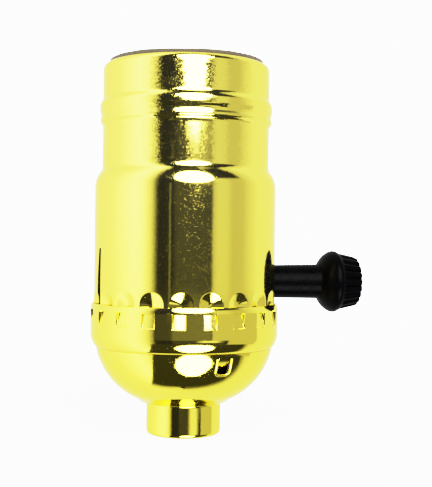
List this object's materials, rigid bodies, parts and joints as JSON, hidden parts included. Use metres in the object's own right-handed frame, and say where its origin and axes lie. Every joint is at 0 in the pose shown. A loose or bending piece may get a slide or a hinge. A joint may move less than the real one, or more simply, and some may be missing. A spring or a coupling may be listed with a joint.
{
  "type": "turn knob lamp socket",
  "caption": "Brass-plated lamp socket for a medium screw bulb: stamped shell and cap over a fibre liner, rotary switch with a removable black turn knob, threaded hub.",
  "frame": {"origin": "centre of the hub's lower end, where the lamp's threaded pipe enters", "axes": "+Z along the socket's axis towards the bulb opening, +X along the switch shaft towards the turn knob"},
  "size_m": [0.0554, 0.0378, 0.0753],
  "materials": {
    "plated_brass": "bright brass plate on thin stamped sheet, polished",
    "plain_brass": "turned and stamped brass, satin",
    "contact_bronze": "phosphor bronze spring strip",
    "aluminium": "rolled thread, satin",
    "nickel_plate": "dull nickel plate",
    "zinc_steel": "zinc-plated steel",
    "black_phenolic": "moulded phenolic",
    "knob_phenolic": "moulded phenolic, semi-gloss",
    "grey_fibre": "rolled vulcanised fibre"
  },
  "bodies": {
    "cap": {"cap": "plated_brass", "cap_liner": "grey_fibre", "hub_bushing": "plain_brass"},
    "set_screw": {"hub_set_screw": "zinc_steel"},
    "interior": {"switch_body": "black_phenolic", "switch_cover": "grey_fibre", "upper_insulator": "black_phenolic", "screw_shell": "aluminium", "line_terminal": "plain_brass", "neutral_terminal": "nickel_plate", "neutral_rivet": "plain_brass", "flange_rivet": "plain_brass", "center_contact_rivet": "plain_brass", "ring_contact_rivet": "plain_brass", "center_blade": "contact_bronze", "ring_blade": "contact_bronze", "line_brush": "contact_bronze", "detent_spring": "zinc_steel", "shaft_bushing": "plain_brass", "assembly_screw_a": "zinc_steel", "assembly_screw_b": "zinc_steel"},
    "shell": {"outer_shell": "plated_brass", "insulating_liner": "grey_fibre"},
    "center_contact": {"center_contact": "contact_bronze"},
    "ring_contact": {"ring_contact": "contact_bronze"},
    "line_screw": {"line_terminal_screw": "plain_brass"},
    "neutral_screw": {"neutral_terminal_screw": "nickel_plate"},
    "shaft": {"switch_shaft": "zinc_steel", "switch_rotor": "black_phenolic", "rotor_contact": "contact_bronze", "shaft_clip": "zinc_steel"},
    "knob": {"turn_knob": "knob_phenolic", "knob_insert": "plain_brass"}
  },
  "joints": [
    {"name": "set_screw_out", "type": "slide", "parent": "cap", "child": "set_screw", "axis": [0, 1, 0], "range_m": [-0.0004, 0.0015]},
    {"name": "interior_lift", "type": "slide", "parent": "cap", "child": "interior", "axis": [0, 0, 1], "range_m": [0, 0.02]},
    {"name": "shell_lift", "type": "slide", "parent": "interior", "child": "shell", "axis": [0, 0, 1], "range_m": [0, 0.055]},
    {"name": "center_contact_press", "type": "hinge", "parent": "interior", "child": "center_contact", "pos_m": [-0.0063, 0, 0.0436], "axis": [0, 1, 0], "range_deg": [0, 5], "stiffness_Nm_per_rad": 0.36},
    {"name": "ring_contact_press", "type": "hinge", "parent": "interior", "child": "ring_contact", "pos_m": [0.0053, -0.0042, 0.0436], "axis": [-1, 0, 0], "range_deg": [0, 6], "stiffness_Nm_per_rad": 0.15},
    {"name": "line_screw_out", "type": "slide", "parent": "interior", "child": "line_screw", "axis": [0, -1, 0], "range_m": [0, 0.0005]},
    {"name": "neutral_screw_out", "type": "slide", "parent": "interior", "child": "neutral_screw", "axis": [0, 1, 0], "range_m": [0, 0.0005]},
    {"name": "switch_turn", "type": "hinge", "parent": "interior", "child": "shaft", "pos_m": [0, 0, 0.0308], "axis": [1, 0, 0], "continuous": true, "deforming": ["detent_spring"]},
    {"name": "knob_off", "type": "slide", "parent": "shaft", "child": "knob", "axis": [1, 0, 0], "range_m": [0, 0.018]}
  ]
}
